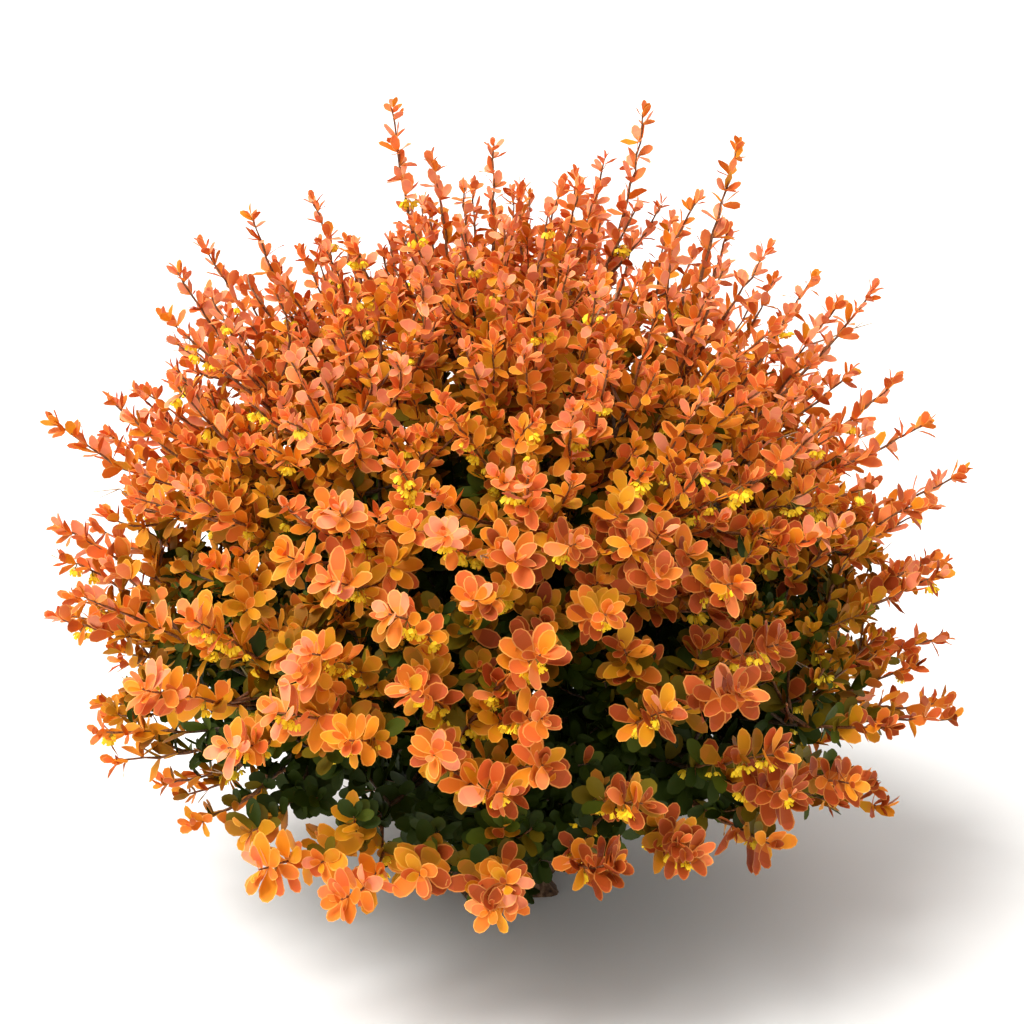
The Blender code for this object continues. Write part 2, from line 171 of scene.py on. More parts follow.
SPUR_LENGTH = (0.035, 0.070)
SPUR_SPREAD = (30, 52)
SPUR_UPTURN = 0.18
SPUR_LIMIT = 0.86
SPUR_SIZE = 0.9
SPUR_TONE = 0.3

# Shoots inside the crown, on the canes, and low green ones round the stem
INNER_ON_CANE = {"top": 48, "upper": 34, "skirt": 16}
INNER_REACH = {"top": (0.55, 0.90), "upper": (0.54, 0.88), "skirt": (0.46, 0.76)}
# Inner shoots take deeper, greener tints: partly their own colour, partly painted shade inside the
# crown.
INNER_TONE = 1.7
TONE_SPREAD = 0.5
INNER_SPREAD = (4, 48)
INNER_START = (0.25, 1)
LOWEST_TIP = 0.02
GROUND_SHOOTS = 88
GROUND_START = (0.028, 0.05)
GROUND_REACH = (0.076, 0.170)
GROUND_HEIGHT = (0.018, 0.095)
GROUND_RISE = 0.65
GROUND_ARCH = 0.02
GROUND_SIZES = (0.85, 1.05)
GROUND_TONE = 8.6

# Twigs
SHOOT_START_RADIUS = 0.0024
SIDE_START_RADIUS = 0.0015
SPUR_START_RADIUS = 0.0011
SHOOT_END_RADIUS = 0.0006
TWIG_SIDES = {"main": 5, "front": 5, "side": 5, "spur": 4, "inner": 3, "ground": 3}
TWIG_STEP = 0.012
NODE_SWELL = 1.35
TWIG_WOBBLE = 0.0006
OLD_WOOD_REACH = 0.72
DRY_TWIGS = 26
DRY_TWIG_START = (0.60, 0.80)
DRY_TWIG_LEAN = (5, 28)
DRY_TWIG_BEND = 12
DRY_TWIG_FORK = 38
DRY_TWIG_LENGTH = (0.035, 0.070)
DRY_TWIG_RADIUS = 0.0007

# Leaves. A row of a rosette has its leaves, their spread and size, and how far it is from the tip.
# Nodes up to a share of the crown's reach have so many leaves, at least and at most.
LEAF_LENGTH = 0.0225
LEAF_SIZE = 1.04
LEAF_SIZE_FALL = 0.23
LEAF_SIZE_SPREAD = (0.92, 1.08)
TALL_SHOOTS = (0.35, 0.55)
LEAF_LENGTHS = (0.78, 1.14)
LEAF_WIDTHS = (0.90, 1.17)
LEAF_TURN_SPREAD = 0.45
LEAF_TILT_SPREAD = 20
LEAF_ROLL = 0.28
LEAF_FACING = 0.4
LEAF_AHEAD = 0.8
LEAF_SKYWARD = Vector((0, 0, 0.35))
NODE_GAP = 0.0126
NODE_GAP_SPREAD = (0.85, 1.2)
NODE_TURN = 144
NODE_LEAN = 44
NODE_SPREAD = 44
LEAF_UPTURN = 0.36
ROSETTE_UPTURN = 0.18
LEAVES_AT_NODE = ((0.62, 1, 3), (9.0, 3, 4))
LEAFY_FROM = 0.26
LAST_NODE = 0.10
TIP_NODE = 0.005
ROSETTE = (
    (2, 30, 0.52, 0.0),
    (4, 57, 0.86, 0.003),
    (5, 72, 1.05, 0.010),
    (4, 76, 1.06, 0.020),
    (4, 78, 1.00, 0.031),
)
BUD = ((2, 24, 0.58, 0.0), (3, 48, 0.72, 0.004))
TIP_GROWTH = (0.68, 6)
PLAIN_LEAF_REACH = 0.65
FULL_LEAF_ROOM = 0.035
FIRST_PLAIN_TINT = 8
LEAF_CLEARANCE = 0.004

# Which tint a leaf takes: the number grows with its depth in the crown, and low down, and on the
# outermost tips, and it falls towards the top. The rise with depth and low down is partly the
# leaves' own colour, green inside and low, and partly painted shade; the fall towards the top is
# painted light.
TINT_START = 0.9
TINT_SPREAD = 1.45
TINT_FADE = 72
TINT_FADE_RISE = 49
TINT_FADE_LOW = 225
TINT_FADE_FOOT = 0.1
TINT_LOW = 9
TINT_LOW_FROM = 0.06
TINT_HEIGHT = 1.6
TINT_TOP = 0.7
TINT_OUTER = 17
TINT_OUTER_DEPTH = 0.03
TINT_WALL = 0.8
TINT_MIDDLE_HEIGHT = 0.35
# Front shoots take a deeper tint, painted shade on the front rosettes, and the lowest of them a
# paler one.
FRONT_TONE = 0.5
FRONT_TONE_FALL = 11

# Leaf outline: places along the leaf and half-widths there, for a leaf one unit long. The shapes
# are how far a leaf is cupped, arched, rippled and blunt.
LEAF_STATIONS = ((0.30, 0.182), (0.62, 0.262), (0.89, 0.172))
FULL_LEAF_STATIONS = ((0.14, 0.085), (0.36, 0.207), (0.58, 0.260), (0.78, 0.236), (0.93, 0.144))
LEAF_SHAPES = (
    (0.22, 0.10, 0.00, 0.20),
    (0.32, -0.16, 0.10, -0.30),
    (0.16, 0.20, -0.08, 0.34),
    (0.40, -0.04, 0.06, -0.12),
    (0.10, -0.26, 0.12, 0.06),
    (0.28, 0.26, -0.14, -0.45),
)
RIM_WIDTH = 0.040
THROAT_END = 0.45
FLUSH_START = 0.60
BLADE, RIM, THROAT, FLUSH = range(4)

# Spines and flowers. A point of a petal has a turn from its middle, and how far out and down it is.
SPINE_LENGTH = 0.009
SPINE_RADIUS = 0.0005
SPINE_AXIS = 0.9
SPINE_BACK = 0.25
FLOWER_SHARE = 0.08
FRONT_FLOWER_SHARE = 0.60
FLOWER_REACH = (0.68, 1.0)
FLOWER_SIZE = 0.0066
FLOWER_SIZES = (0.8, 1.15)
FLOWER_STALK = (0.004, 0.008)
FLOWER_STALK_RADIUS = 0.0004
FLOWERS_AT_NODE = (2, 4)
FLOWER_SWAY = 0.7
PETALS = 6
PETAL_POINTS = (
    (0, 0.05, 0),
    (-0.55, 0.46, 0.20),
    (0.55, 0.46, 0.20),
    (-0.34, 0.60, 0.74),
    (0.34, 0.60, 0.74),
)
PETAL_TINT = (255, 220, 44)

# Leaf tints from the tips of the shoots inwards, as screen colours from 0 to 255, and how far
# the rim of the leaf is paler. The last one, russet, is painted shade: it replaces some of the
# others on the right front, the side turned from the key light.
TINTS = (
    ("coral_pink", (241, 150, 108), 0.50),
    ("coral", (234, 130, 70), 0.50),
    ("coral_red", (220, 106, 46), 0.50),
    ("orange_red", (220, 118, 34), 0.46),
    ("orange", (228, 138, 28), 0.42),
    ("amber", (210, 138, 20), 0.36),
    ("gold", (196, 134, 18), 0.24),
    ("bronze", (148, 96, 10), 0.16),
    ("olive", (108, 92, 10), 0.0),
    ("green", (70, 82, 12), 0.0),
    ("deep_green", (44, 58, 8), 0.0),
    ("russet_painted_shade", (156, 66, 20), 0.40),
)
RIM_TINT = (255, 202, 112)
THROAT_TINT = (232, 142, 34)
THROAT_MIX = 0.95
FLUSH_TINT = (226, 88, 72)
FLUSH_MIX = 0.13
# Painted shade on the right front, turned from the key light: its leaves take deeper tints, and
# some take the russet one.
SHADED_SIDE = (-55, -2)
SHADED_FROM = 0.62
SHADED_SHARE = 2.0
SHADED_FADE = 0.8

# Bark and twig tints: dark, middle and light
BARK_TINTS = ((46, 32, 24), (104, 78, 58), (150, 124, 98))
OLD_TWIG_TINTS = ((42, 28, 18), (76, 56, 38), (112, 88, 64))
YOUNG_TWIG_TINTS = ((78, 46, 28), (118, 74, 42), (160, 106, 64))
DRY_TWIG_TINTS = ((126, 96, 72), (182, 150, 120), (226, 202, 176))
SPINE_TINTS = ((120, 60, 34), (168, 100, 58), (206, 150, 98))
FLOWER_STALK_TINTS = ((120, 110, 40), (150, 130, 50), (190, 150, 60))

# The camera
CAMERA_AIM = Vector((0.0103, 0.0, 0.3394))
CAMERA_DISTANCE = 2.0
CAMERA_CLIMB = 15
CAMERA_LENS = 81.95

# The floor and the light; a sun has a name, bearing, climb, strength and angle
FLOOR_HALF = 40
FLOOR_COLOUR = (0.91, 0.93, 0.95, 1)
LIGHT_COLOUR = (1.0, 0.97, 0.92)
SURROUND_STRENGTH = 0.715
SUNS = (
    ("key", 208, 58, 4.05, 42),
    ("fill", 258, 34, 0.16, 60),
)


def pointing(bearing, climb):
    """The direction with a bearing from +X and a climb above the level, in degrees."""
    level = math.cos(math.radians(climb))
    return Vector((
        level * math.cos(math.radians(bearing)),
        level * math.sin(math.radians(bearing)),
        math.sin(math.radians(climb)),
    ))


def crown_reach(direction):
    """How far the crown's outline is from the heart in a direction."""
    upright = CROWN_RISE if direction.z > 0 else CROWN_DROP
    level = math.hypot(direction.x, direction.y) / CROWN_RADIUS
    return 1 / math.hypot(level, direction.z / upright)


def reach_share(point):
    """How far out a point is, as a part of the crown's reach there."""
    arm = point - HEART
    return arm.length / crown_reach(arm.normalized())


def across(axis):
    """A unit vector square to an axis, and level where it can be."""
    side = axis.cross(Vector((0, 0, 1)))
    if side.length < 0.05:
        side = axis.cross(Vector((0, 1, 0)))
    return side.normalized()


def turned(direction, bearing, angle):
    """A direction tilted by an angle towards a bearing round itself, in degrees."""
    side = across(direction)
    hinge = Quaternion(direction, math.radians(bearing)) @ side
    return Quaternion(hinge, math.radians(angle)) @ direction


def lifted(direction, angle):
    """A direction tilted upwards by an angle, and never past the upright."""
    room = 90 - math.degrees(math.asin(max(-1, min(1, direction.z))))
    hinge = across(direction)
    return Quaternion(hinge, math.radians(min(angle, 0.6 * room))) @ direction


def bend(start, middle, end, place):
    """A point on the curve from start to end that leans towards middle."""
    rest = 1 - place
    return start * rest * rest + middle * 2 * rest * place + end * place * place


def bend_direction(start, middle, end, place):
    """The way that curve runs at a place."""
    return ((middle - start) * (1 - place) + (end - middle) * place).normalized()


def mass_plan():
    """Each mass's name, ring, bearing and middle direction, in order."""
    luck = random.Random(RANDOM_SEED)
    plan = []
    for ring, climb, count, first in RINGS:
        for index in range(count):
            bearing = first + index * 360 / count
            if count > 1:
                bearing += luck.uniform(-5, 5)
            middle = pointing(bearing, climb + (luck.uniform(-3, 3) if count > 1 else 0))
            name = ring if count == 1 else "{}_{}".format(ring, index + 1)
            plan.append((name, ring, bearing, middle))
    return plan


def room_beside(middle, middles, arm):
    """The least distance from a point to the walls of a mass's cone, negative outside it."""
    room = math.inf
    for other in middles:
        if other is not middle:
            away = middle - other
            room = min(room, away.dot(arm) / away.length)
    return room


def edge_angle(middle, middles, bearing):
    """How far a mass spreads from its middle towards a bearing, in degrees."""
    angle = 0
    while angle < 90:
        direction = turned(middle, bearing, angle + 1)
        if direction.z < math.sin(math.radians(LOWEST_CLIMB)):
            break
        if room_beside(middle, middles, direction * FORK_REACH) < SPACE_MARGIN:
            break
        angle += 1
    return angle


def shoot_plan(ring, middle, middles, luck):
    """Where the shoots of a mass end, spread over its share of the crown, leaders first."""
    tips = []
    for bearing, climb, reach in LEADERS:
        direction = pointing(bearing, climb)
        if max(middles, key=direction.dot) is middle:
            tips.append(direction * reach)
    count = SHOOTS_IN_RING[ring]
    phase = luck.uniform(0, 360)
    for index in range(count):
        bearing = phase + index * GOLDEN_ANGLE
        share = math.sqrt((index + 0.5) / count) * SHOOT_SPREAD
        direction = turned(middle, bearing, edge_angle(middle, middles, bearing) * share)
        tips.append(direction * crown_reach(direction) * luck.uniform(*SHOOT_REACH))
    return [HEART + tip.normalized() * (tip.length - TIP_ROOM) for tip in tips]


def shoot_curve(fork, tip, lift=SHOOT_LIFT, swing=0):
    """The three points of a shoot that leaves the fork and turns upwards to its tip."""
    radial = (tip - HEART).normalized()
    aim = Quaternion(Vector((0, 0, 1)), math.radians(swing)) @ lifted(radial, lift)
    return fork, tip - aim * (tip - fork).length * 0.5, tip


def stub_line(ring, bearing):
    """Where a stub leaves the stem's axis, and the way it runs."""
    offset, height, climb, length = STUBS[ring]
    start = pointing(bearing, 0) * offset + Vector((0, 0, height))
    return start, pointing(bearing, climb), length


def middle_point(start, direction, end, aim):
    """Where a line out of the start and a line back from the end come nearest."""
    gap = end - start
    blend = direction.dot(aim)
    reach = (gap.dot(direction) - gap.dot(aim) * blend) / (1 - blend * blend)
    back = (gap.dot(aim) - gap.dot(direction) * blend) / (1 - blend * blend)
    return (start + direction * reach + end - aim * back) / 2


def cane_curve(ring, bearing, middle):
    """The ends of a cane and the point that its curve leans towards."""
    stub_start, direction, length = stub_line(ring, bearing)
    start = stub_start + direction * length
    end = HEART + middle * CANE_REACH
    if ring == "top":
        return start, (start + end) / 2, end
    aim = pointing(bearing, CANE_END_CLIMB[ring])
    return start, middle_point(start, direction, end, aim), end


class Shoot:
    """A leafy shoot along a curve, with its thickness and the size and tone of its leaves."""

    def __init__(self, curve, thick, size, tone, rank):
        self.curve = curve
        self.thick = thick
        self.size = size
        self.tone = tone
        self.rank = rank
        start, middle, end = curve
        chord = (end - start).length
        self.length = (2 * chord + (middle - start).length + (end - middle).length) / 3
        way = (end - HEART).normalized()
        self.facing = way * LEAF_FACING
        self.open_tip = abs(way.y) > ROSETTE_LIMITS[0] and way.z < ROSETTE_LIMITS[1]
        ahead = self.along(1)
        self.upturn = LEAF_UPTURN * math.hypot(ahead.x, ahead.y)
        if self.open_tip:
            self.upturn = ROSETTE_UPTURN

    def at(self, place):
        """A point on the shoot."""
        return bend(*self.curve, place)

    def along(self, place):
        """The way that the shoot runs there."""
        return bend_direction(*self.curve, place)


def leaf_size(direction, luck):
    """Leaves are small on the tall leaders and broad on the shoots at the sides and front."""
    start, span = TALL_SHOOTS
    high = max(0, min(1, (direction.z - start) / span))
    return (LEAF_SIZE - LEAF_SIZE_FALL * high) * luck.uniform(*LEAF_SIZE_SPREAD)


def main_shoots(plan):
    """The shoots of the solids."""
    middles = [middle for name, ring, bearing, middle in plan]
    shoots = []
    for number, (name, ring, bearing, middle) in enumerate(plan):
        luck = random.Random(RANDOM_SEED * 100 + number)
        fork = HEART + middle * FORK_REACH
        for tip in shoot_plan(ring, middle, middles, luck):
            size = leaf_size((tip - HEART).normalized(), luck)
            curve = shoot_curve(fork, tip)
            tone = luck.gauss(0, TONE_SPREAD)
            shoots.append(Shoot(curve, SHOOT_START_RADIUS, size, tone, "main"))
    return shoots


def branch_shoot(mains, direction, reach, rank, luck, swing=0):
    """A shoot that leaves the nearest main one and ends at a reach in a direction."""
    parent = max(mains, key=lambda shoot: direction.dot((shoot.curve[2] - HEART).normalized()))
    fork = parent.at(luck.uniform(*SIDE_FORK))
    tip = HEART + direction * (reach - FINE_TIP_ROOM)
    climb = math.degrees(math.asin(direction.z))
    lift = max(SIDE_LEAST_LIFT, SIDE_LIFT - SIDE_LIFT_FALL * climb)
    sway = luck.gauss(0, SIDE_SWAY)
    lift += luck.uniform(-SIDE_LIFT_SPREAD, SIDE_LIFT_SPREAD)
    curve = shoot_curve(fork, tip, lift, swing + sway)
    size = leaf_size(direction, luck)
    tone = luck.gauss(0, SIDE_TONE_SPREAD)
    if rank == "front":
        tone += FRONT_TONE + FRONT_TONE_FALL * min(0, direction.z)
    return Shoot(curve, SIDE_START_RADIUS, size, tone, rank)


def side_shoots(mains, luck):
    """Shoots at the front and back, on the outline, then where the crown still has most room."""
    shoots = []
    taken = [(shoot.curve[2] - HEART).normalized() for shoot in mains]
    for side in (1, -1):
        for bearing, climb in FRONT_SHOOTS:
            direction = pointing(bearing * side, climb)
            swing = luck.uniform(*FRONT_SWING) * side * (1 if bearing > -90 else -1)
            shoots.append(branch_shoot(mains, direction, FRONT_SHOOT_REACH, "front", luck, swing))
            taken.append(direction)
    for bearing, climb, reach in OUTLINE_SHOOTS:
        direction = pointing(bearing, climb)
        shoots.append(branch_shoot(mains, direction, reach, "side", luck))
        taken.append(direction)
    low = math.sin(math.radians(SIDE_LOWEST_CLIMB))
    for index in range(SPIKES + SIDE_SHOOTS):
        best = None
        for attempt in range(SIDE_CANDIDATES):
            climb = math.degrees(math.asin(luck.uniform(low, 1)))
            direction = pointing(luck.uniform(0, 360), climb)
            nearness = max(direction.dot(other) for other in taken)
            if best is None or nearness < best[0]:
                best = nearness, direction
        direction = best[1]
        taken.append(direction)
        rise = SIDE_RISE * max(0, min(1, direction.z / SIDE_RISE_FROM))
        spike = index < SPIKES and direction.z < SPIKE_HIGHEST
        share = luck.uniform(*SPIKE_REACH) if spike else luck.uniform(*SIDE_REACH) + rise
        if abs(direction.y) > FACE_LIMITS[0] and direction.z < FACE_LIMITS[1]:
            share = luck.uniform(*FACE_REACH) - (FACE_FALL if direction.z < FACE_LOW else 0)
            if luck.random() > FACE_SHARE:
                continue
        elif direction.z < WING_LIMIT:
            share -= WING_FALL
        shoots.append(branch_shoot(mains, direction, crown_reach(direction) * share, "side", luck))
    return shoots


def inner_shoots(plan, luck):
    """Leafy shoots on the canes, inside the crown."""
    shoots = []
    for name, ring, bearing, middle in plan:
        cane = cane_curve(ring, bearing, middle)
        for index in range(INNER_ON_CANE[ring]):
            start = bend(*cane, luck.uniform(*INNER_START))
            way = turned(middle, luck.uniform(0, 360), luck.uniform(*INNER_SPREAD))
            tip = HEART + way * crown_reach(way) * luck.uniform(*INNER_REACH[ring])
            if tip.z < LOWEST_TIP:
                continue
            curve = shoot_curve(start, tip)
            tone = INNER_TONE + luck.gauss(0, TONE_SPREAD)
            shoots.append(Shoot(curve, SIDE_START_RADIUS, 1.0, tone, "inner"))
    return shoots


def ground_shoots(luck):
    """Low green shoots round the foot of the stem."""
    shoots = []
    for index in range(GROUND_SHOOTS):
        out = pointing(index * GOLDEN_ANGLE, 0)
        start = out * GROUND_START[0] + Vector((0, 0, GROUND_START[1]))
        reach = luck.uniform(*GROUND_REACH)
        height = luck.uniform(*GROUND_HEIGHT) + (reach - GROUND_REACH[0]) * GROUND_RISE
        tip = out * reach + Vector((0, 0, height))
        curve = (start, (start + tip) / 2 + Vector((0, 0, GROUND_ARCH)), tip)
        tone = GROUND_TONE + luck.gauss(0, TONE_SPREAD)
        size = luck.uniform(*GROUND_SIZES)
        shoots.append(Shoot(curve, SPUR_START_RADIUS, size, tone, "ground"))
    return shoots


def spur_shoots(shoots, luck):
    """Short side twigs on the outer half of each shoot."""
    spurs = []
    for shoot in shoots:
        for index in range(SPURS_ON_SHOOT):
            place = luck.uniform(*SPUR_PLACES)
            start = shoot.at(place)
            forward = shoot.along(place)
            way = turned(forward, luck.uniform(0, 360), luck.uniform(*SPUR_SPREAD))
            length = luck.uniform(*SPUR_LENGTH)
            end = start + (way + Vector((0, 0, SPUR_UPTURN))).normalized() * length
            if end.z < LOWEST_TIP or reach_share(end) > SPUR_LIMIT:
                continue
            curve = (start, start + way * length * 0.5, end)
            size = shoot.size * SPUR_SIZE
            spurs.append(Shoot(curve, SPUR_START_RADIUS, size, shoot.tone + SPUR_TONE, "spur"))
    return spurs


class Strips:
    """Points and faces gathered for one joined mesh."""

    def __init__(self):
        self.points = []
        self.faces = []

    def tube(self, points, radii, sides, relief=None):
        """A tube with closed ends along points; relief gives each vertex's share of the radius."""
        first = len(self.points)
        ahead = [b - a for a, b in zip(points, points[1:])]
        ahead.append(ahead[-1])
        side = across(ahead[0])
        for row, (point, radius) in enumerate(zip(points, radii)):
            forward = ahead[row].normalized()
            side = (side - forward * side.dot(forward)).normalized()
            up = forward.cross(side)
            for index in range(sides):
                angle = 2 * math.pi * index / sides
                wide = radius * (relief(point, angle) if relief else 1)
                spoke = side * math.cos(angle) + up * math.sin(angle)
                self.points.append(point + spoke * wide)
        for row in range(len(points) - 1):
            low = first + row * sides
            for index in range(sides):
                after = (index + 1) % sides
                high = low + sides
                self.faces.append((low + index, low + after, high + after, high + index))
        last = len(self.points) - sides
        self.faces.append(tuple(reversed(range(first, first + sides))))
        self.faces.append(tuple(range(last, last + sides)))

    def cone(self, root, tip, radius):
        """A thin three-sided spine."""
        first = len(self.points)
        forward = (tip - root).normalized()
        side = across(forward)
        up = forward.cross(side)
        for index in range(3):
            angle = 2 * math.pi * index / 3
            self.points.append(root + (side * math.cos(angle) + up * math.sin(angle)) * radius)
        self.points.append(tip)
        for index in range(3):
            self.faces.append((first + index, first + (index + 1) % 3, first + 3))
        self.faces.append((first + 2, first + 1, first))

    def build(self, name, material, smooth=True):
        """The gathered mesh as an object."""
        mesh = bpy.data.meshes.new(name)
        mesh.from_pydata(self.points, [], self.faces)
        mesh.materials.append(material)
        if smooth:
            mesh.shade_smooth()
        piece = bpy.data.objects.new(name, mesh)
        bpy.context.scene.collection.objects.link(piece)
        return piece


def screen_colour(levels):
    """A base colour from screen levels of 0 to 255."""
    parts = []
    for level in levels:
        share = level / 255
        parts.append(share / 12.92 if share <= 0.04045 else ((share + 0.055) / 1.055) ** 2.4)
    return parts[0], parts[1], parts[2], 1


def mixed(first, second, share):
    """A screen colour part of the way from one to another."""
    return tuple(a + (b - a) * share for a, b in zip(first, second))


def new_material(name, roughness, specular):
    """An empty Principled material and its parts."""
    material = bpy.data.materials.new(name)
    material.use_nodes = True
    tree = material.node_tree
    shader = tree.nodes["Principled BSDF"]
    shader.inputs["Roughness"].default_value = roughness
    shader.inputs["Specular IOR Level"].default_value = specular
    return material, tree, shader


def add_noise(tree, scale, detail, stretch=None):
    """A noise pattern fixed to the object."""
    place = tree.nodes.new("ShaderNodeTexCoord")
    pattern = tree.nodes.new("ShaderNodeTexNoise")
    pattern.inputs["Scale"].default_value = scale
    pattern.inputs["Detail"].default_value = detail
    if stretch:
        mapping = tree.nodes.new("ShaderNodeMapping")
        mapping.inputs["Scale"].default_value = stretch
        tree.links.new(place.outputs["Object"], mapping.inputs["Vector"])
        tree.links.new(mapping.outputs["Vector"], pattern.inputs["Vector"])
    else:
        tree.links.new(place.outputs["Object"], pattern.inputs["Vector"])
    return pattern.outputs["Fac"]


def add_ramp(tree, source, stops):
    """Colours along a pattern."""
    ramp = tree.nodes.new("ShaderNodeValToRGB")
    while len(ramp.color_ramp.elements) < len(stops):
        ramp.color_ramp.elements.new(0.5)
    for element, (place, colour) in zip(ramp.color_ramp.elements, stops):
        element.position = place
        element.color = colour
    tree.links.new(source, ramp.inputs["Fac"])
    return ramp.outputs["Color"]


def add_range(tree, source, low, high):
    """A pattern as a value between two limits."""
    span = tree.nodes.new("ShaderNodeMapRange")
    span.inputs["To Min"].default_value = low
    span.inputs["To Max"].default_value = high
    tree.links.new(source, span.inputs["Value"])
    return span.outputs["Result"]


def add_bump(tree, shader, source, strength, distance):
    """Relief from a pattern."""
    bump = tree.nodes.new("ShaderNodeBump")
    bump.inputs["Strength"].default_value = strength
    bump.inputs["Distance"].default_value = distance
    tree.links.new(source, bump.inputs["Height"])
    tree.links.new(bump.outputs["Normal"], shader.inputs["Normal"])


def leaf_material(name, levels):
    """A leaf surface: one plain colour, with a finely uneven satin gloss."""
    material, tree, shader = new_material(name, 0.55, 0.16)
    shader.inputs["Base Color"].default_value = screen_colour(levels)
    fine = add_noise(tree, 420, 3)
    tree.links.new(add_range(tree, fine, 0.45, 0.68), shader.inputs["Roughness"])
    add_bump(tree, shader, fine, 0.12, 0.0006)
    return material


def bark_material():
    """Grey-brown bark with darker furrows along the stem."""
    material, tree, shader = new_material("bark", 0.85, 0.25)
    furrows = add_noise(tree, 260, 6, (1, 1, 0.22))
    dark, middle, light = BARK_TINTS
    colour = add_ramp(tree, furrows, (
        (0.30, screen_colour(dark)),
        (0.52, screen_colour(middle)),
        (0.74, screen_colour(light)),
    ))
    tree.links.new(colour, shader.inputs["Base Color"])
    tree.links.new(add_range(tree, furrows, 0.72, 0.95), shader.inputs["Roughness"])
    add_bump(tree, shader, furrows, 0.6, 0.002)
    return material


def twig_material(name, dark, middle, light):
    """Thin bark, mottled along the twig."""
    material, tree, shader = new_material(name, 0.55, 0.35)
    mottle = add_noise(tree, 500, 4)
    colour = add_ramp(tree, mottle, (
        (0.32, screen_colour(dark)),
        (0.52, screen_colour(middle)),
        (0.72, screen_colour(light)),
    ))
    tree.links.new(colour, shader.inputs["Base Color"])
    tree.links.new(add_range(tree, mottle, 0.42, 0.7), shader.inputs["Roughness"])
    add_bump(tree, shader, mottle, 0.25, 0.0005)
    return material


def bark_relief(point, angle):
    """Furrows along a limb, as a share of its radius."""
    spot = Vector((math.cos(angle) * 2.4, math.sin(angle) * 2.4, point.z * 26 + point.x * 9))
    return 1 + BARK_RIDGE * noise.noise(spot) * 1.6


def stem_radius(height):
    """The stem's radius at a height, between the levels of its profile."""
    for (low, wide), (high, narrow) in zip(STEM_PROFILE, STEM_PROFILE[1:]):
        if height <= high:
            return wide + (narrow - wide) * (height - low) / (high - low)
    return STEM_PROFILE[-1][1]


def build_bark(plan):
    """The flared stem and the canes that fan out of it, with furrowed bark."""
    strips = Strips()
    top = STEM_PROFILE[-1][0]
    heights = [top * (row / (STEM_ROWS - 1)) ** 1.3 for row in range(STEM_ROWS)]

    def stem_relief(point, angle):
        lobe = ROOT_LOBE_DEPTH * max(0, 1 - point.z / STEM_PROFILE[3][0])
        spot = Vector((math.cos(angle) * 4.5, math.sin(angle) * 4.5, point.z * 30))
        return 1 + lobe * math.cos(ROOT_LOBES * angle) + BARK_RIDGE * noise.noise(spot)

    points = [Vector((0, 0, height)) for height in heights]
    strips.tube(points, [stem_radius(height) for height in heights], STEM_SIDES, stem_relief)
    for name, ring, bearing, middle in plan:
        stub_start, direction, length = stub_line(ring, bearing)
        curve = cane_curve(ring, bearing, middle)
        fork = HEART + middle * FORK_REACH
        points = [stub_start + direction * length * share for share in (0.0, 0.3, 0.6, 0.85)]
        radii = [CANE_START_RADIUS * 1.15] * 2 + [CANE_START_RADIUS * 1.06] * 2
        for row in range(CANE_ROWS):
            place = row / (CANE_ROWS - 1)
            points.append(bend(*curve, place))
            radii.append(CANE_START_RADIUS + (CANE_END_RADIUS - CANE_START_RADIUS) * place)
        for share in (0.25, 0.5, 0.75, 1.0):
            points.append(curve[2] + (fork - curve[2]) * share)
            radii.append(CANE_END_RADIUS + (SHOOT_START_RADIUS - CANE_END_RADIUS) * share)
        strips.tube(points, radii, CANE_SIDES, bark_relief)
    return strips.build("bark", bark_material())


def build_twigs(shoots):
    """The twigs of all the shoots, older wood inside and red-brown young wood outside."""
    old = Strips()
    young = Strips()
    for number, shoot in enumerate(shoots):
        steps = max(3, round(shoot.length / TWIG_STEP))
        luck = random.Random(RANDOM_SEED * 1000 + number)
        sides = TWIG_SIDES[shoot.rank]
        points = []
        radii = []
        for step in range(steps + 1):
            place = step / steps
            wobble = Vector((luck.gauss(0, 1), luck.gauss(0, 1), luck.gauss(0, 1)))
            free = 0 if step == 0 else TWIG_WOBBLE
            points.append(shoot.at(place) + wobble * free)
            swell = NODE_SWELL if step % 2 else 1
            radii.append((shoot.thick + (SHOOT_END_RADIUS - shoot.thick) * place) * swell)
        split = 0
        while split < steps and reach_share(points[split]) < OLD_WOOD_REACH:
            split += 1
        if split > 0:
            old.tube(points[:split + 1], radii[:split + 1], sides)
        if split < steps:
            young.tube(points[split:], radii[split:], sides)
    old_bark = twig_material("old_twig", *OLD_TWIG_TINTS)
    young_bark = twig_material("young_twig", *YOUNG_TWIG_TINTS)
    return old.build("twigs_old", old_bark), young.build("twigs_young", young_bark)


def build_dry_twigs(shoots):
    """A few bare pale twigs, each with a short fork, that stand out between the leaves."""
    strips = Strips()
    luck = random.Random(RANDOM_SEED * 4000)
    for shoot in luck.sample([shoot for shoot in shoots if shoot.rank == "side"], DRY_TWIGS):
        start = shoot.at(luck.uniform(*DRY_TWIG_START))
        out = (start - HEART).normalized()
        way = turned(out, luck.uniform(0, 360), luck.uniform(*DRY_TWIG_LEAN))
        length = luck.uniform(*DRY_TWIG_LENGTH)
        sway = turned(way, luck.uniform(0, 360), DRY_TWIG_BEND)
        points = [
            start,
            start + way * length * 0.35,
            start + sway * length * 0.7,
            start + way * length,
        ]
        radius = DRY_TWIG_RADIUS
        strips.tube(points, [radius * 1.3, radius * 1.1, radius * 0.8, radius * 0.4], 4)
        fork = turned(way, luck.uniform(0, 360), DRY_TWIG_FORK)
        points = [points[2], points[2] + fork * length * 0.28]
        strips.tube(points, [radius * 0.7, radius * 0.35], 4)
    return strips.build("twigs_dry", twig_material("dry_twig", *DRY_TWIG_TINTS))


